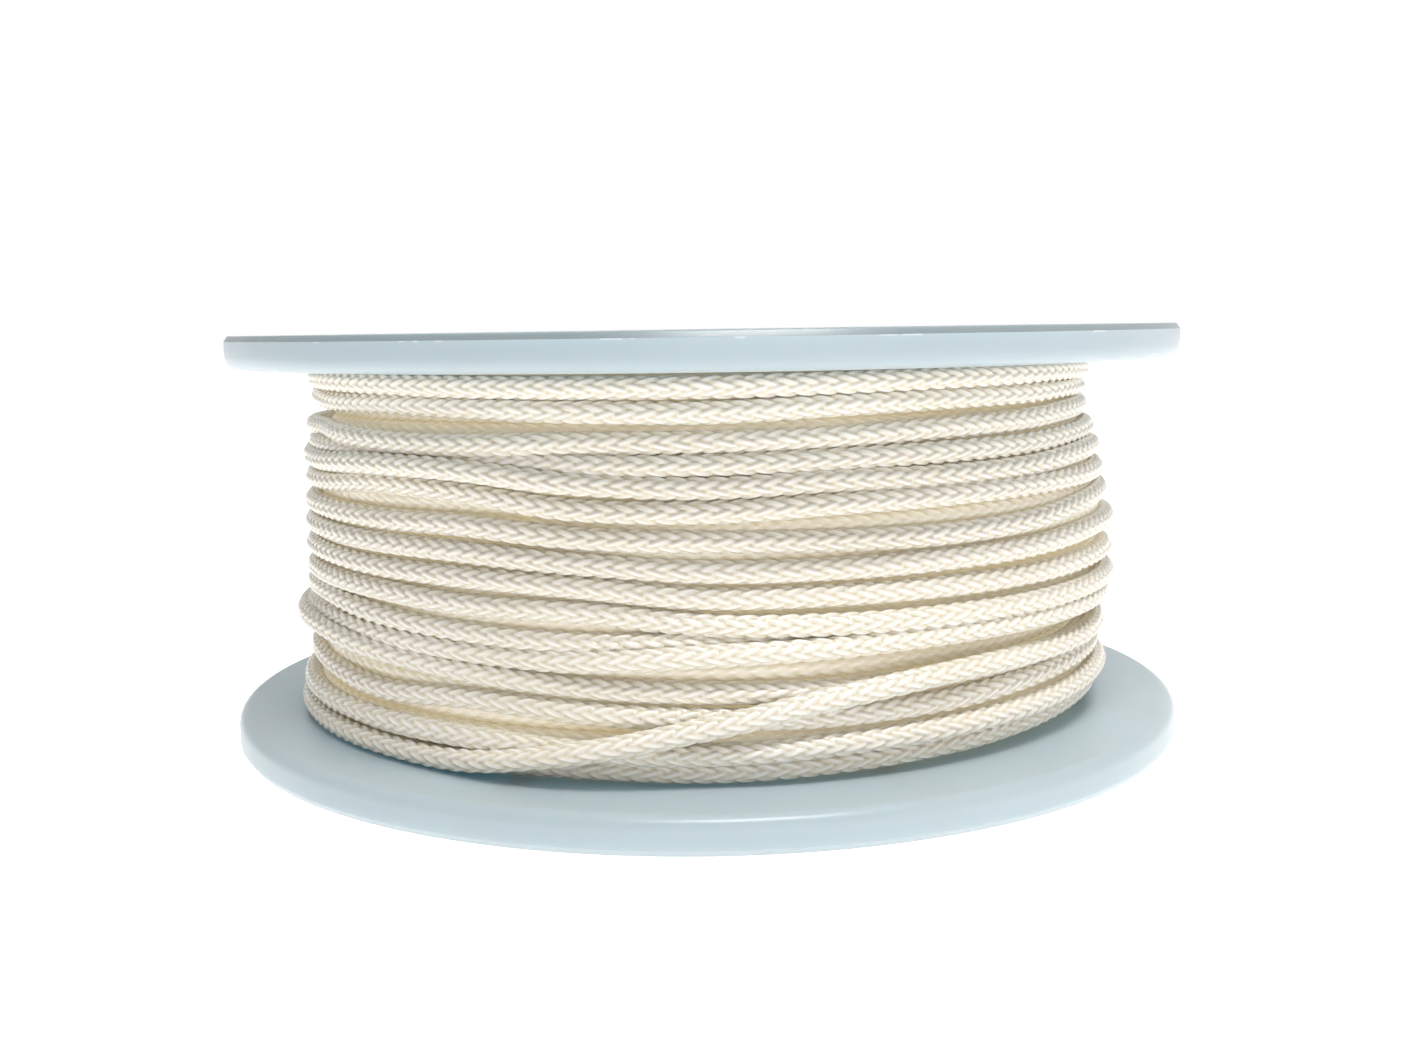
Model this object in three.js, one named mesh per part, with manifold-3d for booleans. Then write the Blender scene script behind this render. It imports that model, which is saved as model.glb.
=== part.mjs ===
// Cord reel: two equal moulded flanges clamped onto a barrel tube by four tie bolts, an arbor tube
// with a bush at each end on the axis, and one closed solid for the winding of cord on the barrel.
// Millimetres. +Z is the reel's axis, and the origin is the middle of the face that it stands on.
import * as THREE from 'three';
import { mergeVertices } from 'three/addons/utils/BufferGeometryUtils.js';
import Module from 'manifold-3d';

const wasm = await Module();
wasm.setup();

// Driving dimensions.
const FLANGE_RADIUS = 100;
const RIM_HEIGHT = 6.6;
const FLANGE_GAP = 70;
const BARREL_RADIUS = 62.5;
const BARREL_WALL = 3;
const BORE_RADIUS = 18;
const WINDING_RADIUS = 85.4;
const FIT_GAP = 0.3;

// Flange: a web on the cord side, a rim that stands outwards from it, and a hub round the bore.
const WEB = 2.6;
const RIM_WALL = 2.6;
const RIM_ROUND = 2.5;
const RIM_EDGE = 0.6;
const RIM_FILLET = 1;
const RIB_WIDTH = 2;
const RIB_TOP = 5.4;
const RIB_COUNT = 8;
const RING_RIB_RADIUS = 61;
const HUB_RADIUS = 28;
const HUB_CHAMFER = 0.4;
const SPIGOT_LENGTH = 4;
const SPIGOT_WALL = 2.5;

// Bush: a flanged sleeve, with its head sunk in the hub.
const BUSH_WALL = 2;
const BUSH_HEAD_RADIUS = 24;
const BUSH_HEAD = 1.6;
const BUSH_LENGTH = 20;
const BUSH_CHAMFER = 0.8;
const ARBOR_WALL = 3.2;

// Tie bolts, M5 by 80, in cups moulded on the web.
const BOLT_COUNT = 4;
const BOLT_CIRCLE_RADIUS = 42;
const BOLT_RADIUS = 2.5;
const BOLT_LENGTH = 80;
const HEAD_RADIUS = 4.75;
const HEAD_HEIGHT = 2.6;
const SOCKET_RADIUS = 1.73;
const SOCKET_DEPTH = 1.6;
const WASHER_RADIUS = 5;
const WASHER = 0.9;
const NUT_RADIUS = 4.62;
const NUT_HEIGHT = 2.6;
const CUP_RADIUS = 8.4;
const CUP_WALL = 1.8;
const STACK_GAP = 0.15;

// The cord's inner end goes through this hole in the barrel.
const START_HOLE_RADIUS = 2.6;
const START_HOLE_RISE = 4;

// Facets round a full turn.
const LARGE_TURN = 60;
const MEDIUM_TURN = 36;
const SMALL_TURN = 16;

const HOLE_CLEARANCE = BOLT_RADIUS + FIT_GAP;
const SLEEVE_RADIUS = BORE_RADIUS + BUSH_WALL;
const HUB_HOLE_RADIUS = SLEEVE_RADIUS + FIT_GAP;
const TOTAL_HEIGHT = 2 * RIM_HEIGHT + FLANGE_GAP;
const MIDDLE_Z = TOTAL_HEIGHT / 2;
const TUBE_LENGTH = FLANGE_GAP - 2 * FIT_GAP;
const WASHER_SEAT = WEB + STACK_GAP;
const HEAD_SEAT = WASHER_SEAT + WASHER + STACK_GAP;
const RIB_PITCH = 2 * Math.PI / RIB_COUNT;
const BOLT_PITCH = 2 * Math.PI / BOLT_COUNT;

const PLASTIC = new THREE.MeshStandardMaterial({ color: 0xbbcbd4, roughness: 0.3, metalness: 0 });
const TUBE_PLASTIC = new THREE.MeshStandardMaterial({ color: 0xc9d3d8, roughness: 0.45, metalness: 0 });
const BUSH_PLASTIC = new THREE.MeshStandardMaterial({ color: 0x8f9ba1, roughness: 0.4, metalness: 0 });
const STEEL = new THREE.MeshStandardMaterial({ color: 0xb8babb, roughness: 0.35, metalness: 1 });
const CORD = new THREE.MeshStandardMaterial({ color: 0xded9cc, roughness: 0.6, metalness: 0 });

const part = new THREE.Group();

function toSolid(geometry) {
  const bare = geometry.clone();
  bare.deleteAttribute('normal');
  bare.deleteAttribute('uv');
  const merged = mergeVertices(bare);
  return new wasm.Manifold(new wasm.Mesh({
    numProp: 3,
    vertProperties: new Float32Array(merged.attributes.position.array),
    triVerts: new Uint32Array(merged.index.array),
  }));
}

function toGeometry(solid) {
  const mesh = solid.getMesh();
  const geometry = new THREE.BufferGeometry();
  geometry.setAttribute('position', new THREE.BufferAttribute(mesh.vertProperties, 3));
  geometry.setIndex(new THREE.BufferAttribute(mesh.triVerts, 1));
  geometry.computeVertexNormals();
  return geometry;
}

// A closed profile of [radius, height] points, counter-clockwise, turned about Z.
function revolve(profile, turn) {
  const points = [...profile, profile[0]].map(([radius, height]) => new THREE.Vector2(radius, height));
  return new THREE.LatheGeometry(points, turn).rotateX(Math.PI / 2);
}

// Points of a quarter round from one angle to another, in degrees. One step makes a chamfer.
function arc(radius, height, size, from, to, steps) {
  const points = [];
  for (let step = 0; step <= steps; step += 1) {
    const angle = THREE.MathUtils.degToRad(from + (to - from) * step / steps);
    points.push([radius + size * Math.cos(angle), height + size * Math.sin(angle)]);
  }
  return points;
}

function cylinder(radius, low, high, turn) {
  const geometry = new THREE.CylinderGeometry(radius, radius, high - low, turn);
  return geometry.rotateX(Math.PI / 2).translate(0, 0, (low + high) / 2);
}

function ring(inner, outer, low, high, turn) {
  return revolve([[inner, low], [outer, low], [outer, high], [inner, high]], turn);
}

function boltPlace(index) {
  const angle = BOLT_PITCH * (index + 0.5);
  return [BOLT_CIRCLE_RADIUS * Math.cos(angle), BOLT_CIRCLE_RADIUS * Math.sin(angle)];
}

function add(parent, name, geometry, material) {
  const mesh = new THREE.Mesh(geometry, material);
  mesh.name = name;
  parent.add(mesh);
  return mesh;
}

// A flange is drawn with its cord-side face at height 0 and its rim standing up to RIM_HEIGHT.
function flangeGeometry() {
  const spigotRadius = BARREL_RADIUS - BARREL_WALL - FIT_GAP;
  const rimInside = FLANGE_RADIUS - RIM_WALL;
  const headSeat = RIM_HEIGHT - BUSH_HEAD - FIT_GAP;
  const headPocket = BUSH_HEAD_RADIUS + FIT_GAP;
  const profile = [
    [HUB_HOLE_RADIUS, 0],
    [spigotRadius - SPIGOT_WALL, 0],
    [spigotRadius - SPIGOT_WALL, -SPIGOT_LENGTH],
    [spigotRadius, -SPIGOT_LENGTH],
    [spigotRadius, 0],
    ...arc(FLANGE_RADIUS - RIM_ROUND, RIM_ROUND, RIM_ROUND, -90, 0, 4),
    ...arc(FLANGE_RADIUS - RIM_EDGE, RIM_HEIGHT - RIM_EDGE, RIM_EDGE, 0, 90, 1),
    [rimInside, RIM_HEIGHT],
    ...arc(rimInside - RIM_FILLET, WEB + RIM_FILLET, RIM_FILLET, 0, -90, 1),
    [RING_RIB_RADIUS + RIB_WIDTH / 2, WEB],
    [RING_RIB_RADIUS + RIB_WIDTH / 2, RIB_TOP],
    [RING_RIB_RADIUS - RIB_WIDTH / 2, RIB_TOP],
    [RING_RIB_RADIUS - RIB_WIDTH / 2, WEB],
    [HUB_RADIUS, WEB],
    [HUB_RADIUS, RIM_HEIGHT - HUB_CHAMFER],
    [HUB_RADIUS - HUB_CHAMFER, RIM_HEIGHT],
    [headPocket, RIM_HEIGHT],
    [headPocket, headSeat],
    [HUB_HOLE_RADIUS, headSeat],
  ];
  let flange = toSolid(revolve(profile, LARGE_TURN));
  const ribLow = WEB - RIB_WIDTH / 4;
  const ribInner = HUB_RADIUS - RIB_WIDTH;
  const ribOuter = rimInside + RIB_WIDTH / 4;
  for (let index = 0; index < RIB_COUNT; index += 1) {
    const rib = new THREE.BoxGeometry(ribOuter - ribInner, RIB_WIDTH, RIB_TOP - ribLow);
    rib.translate((ribOuter + ribInner) / 2, 0, (RIB_TOP + ribLow) / 2);
    rib.rotateZ(RIB_PITCH * (index + 0.5));
    flange = flange.add(toSolid(rib));
  }
  for (let index = 0; index < BOLT_COUNT; index += 1) {
    const [x, y] = boltPlace(index);
    const cup = cylinder(CUP_RADIUS, ribLow, RIB_TOP, SMALL_TURN).translate(x, y, 0);
    const pocket = cylinder(CUP_RADIUS - CUP_WALL, WEB, RIM_HEIGHT, SMALL_TURN).translate(x, y, 0);
    const hole = cylinder(HOLE_CLEARANCE, -SPIGOT_LENGTH, RIM_HEIGHT, SMALL_TURN).translate(x, y, 0);
    flange = flange.add(toSolid(cup)).subtract(toSolid(pocket)).subtract(toSolid(hole));
  }
  return toGeometry(flange);
}

function bushGeometry() {
  return revolve([
    [BORE_RADIUS, RIM_HEIGHT - BUSH_LENGTH],
    [SLEEVE_RADIUS, RIM_HEIGHT - BUSH_LENGTH],
    [SLEEVE_RADIUS, RIM_HEIGHT - BUSH_HEAD],
    [BUSH_HEAD_RADIUS, RIM_HEIGHT - BUSH_HEAD],
    [BUSH_HEAD_RADIUS, RIM_HEIGHT],
    [BORE_RADIUS + BUSH_CHAMFER, RIM_HEIGHT],
    [BORE_RADIUS, RIM_HEIGHT - BUSH_CHAMFER],
  ], MEDIUM_TURN);
}

function nutGeometry() {
  const outline = new THREE.Shape();
  for (let corner = 0; corner < 6; corner += 1) {
    const angle = Math.PI / 3 * corner;
    const place = [NUT_RADIUS * Math.cos(angle), NUT_RADIUS * Math.sin(angle)];
    if (corner === 0) outline.moveTo(...place);
    else outline.lineTo(...place);
  }
  outline.closePath();
  outline.holes.push(new THREE.Path().absarc(0, 0, HOLE_CLEARANCE, 0, 2 * Math.PI, true));
  const settings = { depth: NUT_HEIGHT, bevelEnabled: false, curveSegments: SMALL_TURN / 2 };
  return new THREE.ExtrudeGeometry(outline, settings).translate(0, 0, HEAD_SEAT);
}

// The bolt's head seat is at the flange's own height HEAD_SEAT, and its shank goes down from it.
function boltGeometry() {
  const profile = [
    [0, HEAD_SEAT - BOLT_LENGTH],
    [BOLT_RADIUS, HEAD_SEAT - BOLT_LENGTH],
    [BOLT_RADIUS, HEAD_SEAT],
    [HEAD_RADIUS, HEAD_SEAT],
    [HEAD_RADIUS * 0.93, HEAD_SEAT + HEAD_HEIGHT * 0.45],
    [HEAD_RADIUS * 0.75, HEAD_SEAT + HEAD_HEIGHT * 0.8],
    [HEAD_RADIUS * 0.5, HEAD_SEAT + HEAD_HEIGHT],
    [0, HEAD_SEAT + HEAD_HEIGHT],
  ];
  const points = profile.map(([radius, height]) => new THREE.Vector2(radius, height));
  const blank = new THREE.LatheGeometry(points, SMALL_TURN).rotateX(Math.PI / 2);
  const top = HEAD_SEAT + HEAD_HEIGHT;
  const socket = cylinder(SOCKET_RADIUS, top - SOCKET_DEPTH, top + HEAD_HEIGHT, 6);
  return toGeometry(toSolid(blank).subtract(toSolid(socket)));
}

function addFlange(parent, end) {
  add(parent, `flange_${end}`, flangeGeometry(), PLASTIC);
  add(parent, `bush_${end}`, bushGeometry(), BUSH_PLASTIC);
  for (let index = 0; index < BOLT_COUNT; index += 1) {
    const [x, y] = boltPlace(index);
    const washer = ring(HOLE_CLEARANCE, WASHER_RADIUS, WASHER_SEAT, WASHER_SEAT + WASHER, SMALL_TURN);
    add(parent, `washer_${end}_${index + 1}`, washer.translate(x, y, 0), STEEL);
  }
}

function addTopEnd() {
  const end = new THREE.Group();
  end.position.z = RIM_HEIGHT + FLANGE_GAP;
  addFlange(end, 'top');
  for (let index = 0; index < BOLT_COUNT; index += 1) {
    const [x, y] = boltPlace(index);
    add(end, `tie_bolt_${index + 1}`, boltGeometry().translate(x, y, 0), STEEL);
  }
  part.add(end);
}

// The bottom end is the same flange turned over about the X axis, with the nuts on it.
function addBottomEnd() {
  const end = new THREE.Group();
  end.position.z = RIM_HEIGHT;
  end.rotation.x = Math.PI;
  addFlange(end, 'bottom');
  for (let index = 0; index < BOLT_COUNT; index += 1) {
    const [x, y] = boltPlace(index);
    add(end, `tie_nut_${index + 1}`, nutGeometry().translate(x, y, 0), STEEL);
  }
  part.add(end);
}

function addBarrel() {
  const low = RIM_HEIGHT + FIT_GAP;
  const tube = ring(BARREL_RADIUS - BARREL_WALL, BARREL_RADIUS, low, low + TUBE_LENGTH, LARGE_TURN);
  const hole = cylinder(START_HOLE_RADIUS, 0, 2 * BARREL_WALL, SMALL_TURN);
  hole.rotateY(Math.PI / 2).translate(BARREL_RADIUS - 1.5 * BARREL_WALL, 0, low + START_HOLE_RISE);
  add(part, 'barrel_tube', toGeometry(toSolid(tube).subtract(toSolid(hole))), TUBE_PLASTIC);
}

function addArbor() {
  const low = RIM_HEIGHT + FIT_GAP;
  const outer = HUB_HOLE_RADIUS + ARBOR_WALL;
  add(part, 'arbor_tube', ring(HUB_HOLE_RADIUS, outer, low, low + TUBE_LENGTH, MEDIUM_TURN), TUBE_PLASTIC);
}

// The winding's outer shape: fullest in its lower third, and a little lower at both flanges.
function addWinding() {
  const inner = BARREL_RADIUS + FIT_GAP;
  const low = RIM_HEIGHT + FIT_GAP;
  const high = low + TUBE_LENGTH;
  add(part, 'cord_winding', revolve([
    [inner, low],
    [WINDING_RADIUS - 1.6, low],
    [WINDING_RADIUS, low + 2],
    [WINDING_RADIUS + 0.9, low + 0.18 * TUBE_LENGTH],
    [WINDING_RADIUS + 0.3, low + 0.45 * TUBE_LENGTH],
    [WINDING_RADIUS - 0.2, low + 0.8 * TUBE_LENGTH],
    [WINDING_RADIUS - 0.3, high - 2],
    [WINDING_RADIUS - 1.8, high],
    [inner, high],
  ], LARGE_TURN), CORD);
}

addBottomEnd();
addBarrel();
addArbor();
addWinding();
addTopEnd();

export default part;
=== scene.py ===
"""Cord reel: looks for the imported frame. Sizes are in millimetres until a mesh is made, then metres.

Places round the reel are angles in degrees: 0 at the front, which faces -Y, and 90 at +X.
"""

import math

import bpy
import numpy as np
from mathutils import Matrix, Vector


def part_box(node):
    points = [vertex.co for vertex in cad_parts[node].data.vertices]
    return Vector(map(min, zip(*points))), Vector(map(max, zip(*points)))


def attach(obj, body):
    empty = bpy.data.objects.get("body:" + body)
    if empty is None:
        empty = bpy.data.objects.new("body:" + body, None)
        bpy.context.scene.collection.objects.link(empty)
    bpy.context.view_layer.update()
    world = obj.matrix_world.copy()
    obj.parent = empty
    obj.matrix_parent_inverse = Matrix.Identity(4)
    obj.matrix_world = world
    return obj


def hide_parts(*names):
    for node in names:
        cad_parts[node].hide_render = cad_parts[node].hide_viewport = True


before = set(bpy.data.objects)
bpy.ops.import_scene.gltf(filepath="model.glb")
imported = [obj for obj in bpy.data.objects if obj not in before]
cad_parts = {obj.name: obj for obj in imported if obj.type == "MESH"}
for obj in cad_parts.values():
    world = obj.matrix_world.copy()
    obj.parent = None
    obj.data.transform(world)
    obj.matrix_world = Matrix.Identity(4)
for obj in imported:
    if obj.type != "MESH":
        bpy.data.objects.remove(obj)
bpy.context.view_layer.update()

MM = 0.001
SEED = 11                        # of the rows' wander behind the reel


# ---- Sizes from the frame ---------------------------------------------------------------------

def box_mm(node):
    """A node's lowest and highest corners, in millimetres."""
    low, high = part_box(node)
    return np.array(low) / MM, np.array(high) / MM


def node_radius(node):
    """How far a node that is centred on the axis reaches from it."""
    return box_mm(node)[1][0]


TOP_Z = box_mm("flange_top")[1][2]
FLANGE_RADIUS = node_radius("flange_top")
BARREL_RADIUS = node_radius("barrel_tube")
WINDING_LOW, WINDING_HIGH = (corner[2] for corner in box_mm("cord_winding"))
FIT_GAP = 0.3
FACE_LOW = WINDING_LOW - FIT_GAP
FACE_HIGH = WINDING_HIGH + FIT_GAP
RIM_HEIGHT = FACE_LOW
CORD_DIAMETER = 4.0
CORD_RADIUS = CORD_DIAMETER / 2


# ---- Camera -----------------------------------------------------------------------------------

CAMERA_DISTANCE = 331.3
CAMERA_RISE = 0.3
CAMERA_PITCH = 5.15
CAMERA_ROLL = -0.83
FOCAL_LENGTH = 38.44
SENSOR_WIDTH = 36.0
FRAMING_SHIFT = (0.001, -0.0428)


def add_camera():
    """A camera at the height of the top flange, looking slightly down."""
    data = bpy.data.cameras.new("camera")
    data.sensor_width = SENSOR_WIDTH
    data.lens = FOCAL_LENGTH
    data.shift_x, data.shift_y = FRAMING_SHIFT
    data.clip_start = 0.01
    camera = bpy.data.objects.new("camera", data)
    bpy.context.scene.collection.objects.link(camera)
    pitch = math.radians(CAMERA_PITCH)
    roll = math.radians(CAMERA_ROLL)
    ahead = Vector((0, math.cos(pitch), -math.sin(pitch)))
    level_up = Vector((0, math.sin(pitch), math.cos(pitch)))
    level_right = Vector((1, 0, 0))
    right = math.cos(roll) * level_right + math.sin(roll) * level_up
    up = math.cos(roll) * level_up - math.sin(roll) * level_right
    turn = Matrix((right, up, -ahead)).transposed().to_4x4()
    place = Vector((0, -CAMERA_DISTANCE, TOP_Z + CAMERA_RISE)) * MM
    camera.matrix_world = Matrix.Translation(place) @ turn
    bpy.context.scene.camera = camera


# ---- Meshes -----------------------------------------------------------------------------------

def link_mesh(name, points, quads, caps=(), sharp_degrees=None):
    """A smooth mesh object from points in millimetres, an array of quads and a list of larger faces."""
    mesh = bpy.data.meshes.new(name)
    corners = np.concatenate([np.ravel(quads), *caps]).astype(np.int32)
    sizes = np.array([4] * len(quads) + [len(cap) for cap in caps])
    mesh.vertices.add(len(points))
    mesh.vertices.foreach_set("co", (np.asarray(points, dtype=np.float64) * MM).ravel())
    mesh.loops.add(len(corners))
    mesh.loops.foreach_set("vertex_index", corners)
    mesh.polygons.add(len(sizes))
    mesh.polygons.foreach_set("loop_start", np.cumsum(sizes) - sizes)
    mesh.update(calc_edges=True)
    mesh.validate()
    finish_shading(mesh, sharp_degrees)
    piece = bpy.data.objects.new(name, mesh)
    bpy.context.scene.collection.objects.link(piece)
    return piece


def finish_shading(mesh, sharp_degrees):
    """Shades a mesh smooth, with sharp edges where its faces meet at a larger angle."""
    mesh.polygons.foreach_set("use_smooth", [True] * len(mesh.polygons))
    if sharp_degrees is not None:
        mesh.set_sharp_from_angle(angle=math.radians(sharp_degrees))


def end_caps(rows, columns):
    """The two faces that close the ends of a grid whose columns go round."""
    first = np.arange(columns)
    return [first[::-1], (rows - 1) * columns + first]


def grid_faces(rows, columns, close_rows=False):
    """Quads of a grid whose columns go round; close_rows joins the last row to the first."""
    row = np.arange(rows if close_rows else rows - 1)[:, None]
    column = np.arange(columns)[None, :]
    after = (column + 1) % columns
    below = (row + 1) % rows
    corners = (row * columns + column, row * columns + after,
               below * columns + after, below * columns + column)
    return np.stack([np.broadcast_to(c, (len(row), columns)) for c in corners], axis=-1).reshape(-1, 4)


# ---- The cord's path --------------------------------------------------------------------------

# The cord is wound in five even layers, and a sixth whose turns wander and ride over each other.
ROW_PITCH = 4.05
LAYER_PITCH = 3.95
EVEN_LAYERS = 5
STEPS = 120                      # path points in one turn
STEP_ANGLE = 360 / STEPS
LOW_ROW = FACE_LOW + CORD_RADIUS + 0.1
HIGH_ROW = FACE_HIGH - CORD_RADIUS - 0.1
START_ANGLE = 90.0
START_HEIGHT = 10.9              # the barrel's start hole
FIRST_RADIUS = BARREL_RADIUS + CORD_RADIUS + 0.1
FIFTH_ROW_AT_FRONT = 25.5        # one row of the fifth layer crosses the front here
TOUCH = 2.9                      # two crossing cords press together to this distance
HUMP = 0.011                     # how fast a cord comes down from a crossing, mm per degree squared
HUMP_STEPS = 12                  # path points that a crossing lifts on each side
EASING = (0.1, 0.2, 0.4, 0.2, 0.1)
ROW_WANDER = 0.9                 # how far a row wanders behind the reel, mm
LEAD_OUT = (3.2, 2.0, 1.0, 0.3)  # how far the first points lie inside the first layer, mm

# Heights of the sixth layer's turns across the front, in winding order, at these angles.
FRONT_ANGLES = (-60, -45, -30, -15, 0, 15, 30, 45, 60)
BACK_ANGLES = (95, 130, 165, 200, 235, 270)
TURNS = {
    "turn_01": (74.5, 74.3, 74.0, 73.8, 73.8, 74.0, 74.2, 74.4, 74.5),
    "turn_02": (70.4, 70.7, 70.3, 69.8, 69.6, 70.3, 70.7, 70.7, 71.0),
    "turn_03": (61.5, 61.5, 61.4, 60.9, 60.8, 61.2, 61.5, 61.6, 62.2),
    "turn_04": (64.7, 64.1, 64.0, 64.5, 64.6, 64.9, 65.6, 65.9, 66.6),
    "turn_05": (59.1, 60.0, 59.8, 57.8, 57.0, 57.7, 57.5, 57.7, 58.6),
    "turn_06": (55.0, 56.4, 55.6, 53.4, 53.0, 53.8, 54.1, 54.2, 54.1),
    "turn_07": (49.8, 49.8, 50.0, 48.6, 48.0, 47.6, 47.4, 47.9, 49.2),
    "turn_08": (45.5, 45.5, 45.3, 44.2, 43.0, 42.8, 43.0, 43.2, 43.9),
    "turn_09": (41.1, 41.0, 40.9, 40.2, 38.5, 38.3, 38.2, 38.1, 38.2),
    "turn_10": (33.0, 31.9, 31.1, 30.6, 31.0, 31.6, 31.8, 31.8, 31.6),
    "turn_11": (28.8, 28.3, 27.6, 27.7, 29.2, 29.8, 30.2, 30.0, 29.8),
    "turn_12": (36.6, 36.7, 36.1, 35.9, 34.2, 33.6, 33.3, 33.2, 33.0),
    "turn_13": (26.9, 25.5, 24.2, 23.1, 22.5, 22.1, 22.4, 22.4, 22.2),
    "turn_14": (18.7, 18.2, 19.4, 18.7, 18.1, 17.7, 18.0, 18.6, 18.8),
    "turn_15": (13.0, 13.1, 13.0, 12.4, 12.3, 13.0, 13.5, 13.8, 14.2),
    "turn_16": (8.7, 8.7, 8.9, 9.2, 9.0, 9.5, 10.0, 10.5, 10.9),
    "turn_17": (8.7, 8.8, 9.2, 12.7, 17.2, 21.4, 23.5, 23.6, 23.2),
}
# The cord's outer end, after the last turn: (angle, height). It is tucked under other turns.
TAIL = ((88, 24.0), (108, 25.0), (124, 24.9), (140, 23.0), (156, 19.5), (171, 16.2))
TUCK_ANGLE = 126                 # the tail lies beneath the turns from here on

# Where the layers beneath stand out or sink: angle, height, spread in degrees and in mm, and depth.
SWELLS = (
    (75, 70, 55, 9, -3.8),
    (-75, 67, 45, 6, -3.2),
    (80, 43, 45, 8, 2.6),
    (0, 9, 130, 6, 2.6),
    (80, 23, 40, 5, -2.2),
    (190, 55, 50, 12, -1.0),
    (160, 20, 45, 9, 0.8),
)


def swell(angle, height):
    """How far the wound surface stands out of an even cylinder."""
    total = np.zeros(np.broadcast(angle, height).shape)
    for at_angle, at_height, angle_spread, height_spread, depth in SWELLS:
        away = (np.asarray(angle) - at_angle + 180) % 360 - 180
        total += depth * np.exp(-(away / angle_spread) ** 2 - ((height - at_height) / height_spread) ** 2)
    return total


def layer_radius(layer):
    """The radius of the cord's centre in an even layer."""
    return FIRST_RADIUS + LAYER_PITCH * layer


def smooth_through(knots_x, knots_y, x):
    """A smooth curve through the knots (a cubic with the slope of each knot's neighbours)."""
    knots_x = np.asarray(knots_x, dtype=float)
    knots_y = np.asarray(knots_y, dtype=float)
    slopes = np.gradient(knots_y, knots_x)
    index = np.clip(np.searchsorted(knots_x, x, side="right") - 1, 0, len(knots_x) - 2)
    width = knots_x[index + 1] - knots_x[index]
    t = (x - knots_x[index]) / width
    from_left = (2 * t**3 - 3 * t**2 + 1) * knots_y[index] + (t**3 - 2 * t**2 + t) * width * slopes[index]
    from_right = (3 * t**2 - 2 * t**3) * knots_y[index + 1] + (t**3 - t**2) * width * slopes[index + 1]
    return from_left + from_right


def lay_even_layers():
    """Angles, heights and radii of the five even layers, laid up and down in turn."""
    angle = START_ANGLE
    rows = []
    for layer in range(EVEN_LAYERS):
        upward = layer % 2 == 0
        start = START_HEIGHT if layer == 0 else (LOW_ROW if upward else HIGH_ROW)
        if layer == EVEN_LAYERS - 1:
            row_here = FIFTH_ROW_AT_FRONT + ROW_PITCH * angle / 360
            start = LOW_ROW + (row_here - LOW_ROW) % ROW_PITCH
        end = HIGH_ROW if upward else LOW_ROW
        steps = math.ceil(abs(end - start) / ROW_PITCH * STEPS)
        angles = angle + STEP_ANGLE * np.arange(steps)
        climb = ROW_PITCH * np.arange(steps) / STEPS
        heights = start + climb if upward else start - climb
        lift = swell(angles, heights) * ((layer + 1) / EVEN_LAYERS) ** 2
        rows.append(np.stack([angles, heights, layer_radius(layer) + lift]))
        angle = angles[-1] + STEP_ANGLE
    rows[0][2, :len(LEAD_OUT)] -= LEAD_OUT      # out through the hole in the barrel
    return rows


def sixth_layer_heights(first_angle, first_pass):
    """Angles and heights of the wandering turns and the tail, from where the fifth layer ends."""
    random = np.random.default_rng(SEED)
    knots = [(first_angle, HIGH_ROW)]
    fronts = list(TURNS.values())
    for number, heights in enumerate(fronts):
        middle = first_pass + 360 * number
        knots += [(middle + angle, height) for angle, height in zip(FRONT_ANGLES, heights)]
        if number + 1 < len(fronts):
            share = np.linspace(0, 1, len(BACK_ANGLES) + 2)[1:-1]
            share = share * share * (3 - 2 * share)
            across = heights[-1] + (fronts[number + 1][0] - heights[-1]) * share
            across = across + random.uniform(-ROW_WANDER, ROW_WANDER, len(across))
            knots += [(middle + angle, height) for angle, height in zip(BACK_ANGLES, across)]
        else:
            knots += [(middle + angle, height) for angle, height in TAIL]
    knots_x, knots_y = np.array(knots).T
    angles = np.arange(first_angle, knots_x[-1] + STEP_ANGLE / 2, STEP_ANGLE)
    heights = smooth_through(knots_x, knots_y, angles)
    return angles, np.clip(heights, LOW_ROW, HIGH_ROW)


class Pile:
    """The cord already laid, as heights and radii in each of the slices round the reel."""

    def __init__(self):
        self.heights = [[] for _ in range(STEPS)]
        self.radii = [[] for _ in range(STEPS)]

    def add(self, angles, heights, radii):
        for angle, height, radius in zip(angles, heights, radii):
            slice_number = round(angle / STEP_ANGLE) % STEPS
            self.heights[slice_number].append(height)
            self.radii[slice_number].append(radius)

    def rest(self, angle, height):
        """The radius at which a cord laid here touches the cords beneath it."""
        slice_number = round(angle / STEP_ANGLE) % STEPS
        beside = np.array(self.heights[slice_number]) - height
        radii = np.array(self.radii[slice_number])
        near = np.abs(beside) < TOUCH
        if not near.any():
            return layer_radius(EVEN_LAYERS - 1) + float(swell(angle, height))
        return np.max(radii[near] + np.sqrt(TOUCH**2 - beside[near] ** 2))

    def lay(self, angles, heights):
        """Radii of a cord pulled tight over the pile, coming down gently from each crossing."""
        touching = np.array([self.rest(a, h) for a, h in zip(angles, heights)])
        reach = HUMP_STEPS
        padded = np.pad(touching, reach, mode="edge")
        size = len(touching)
        humps = []
        for k in range(-reach, reach + 1):
            humps.append(padded[reach + k : reach + k + size] - HUMP * (k * STEP_ANGLE) ** 2)
        tight = np.max(humps, axis=0)
        eased = np.convolve(np.pad(tight, 2, mode="edge"), EASING, mode="valid")
        return np.maximum(eased, touching)


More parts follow.
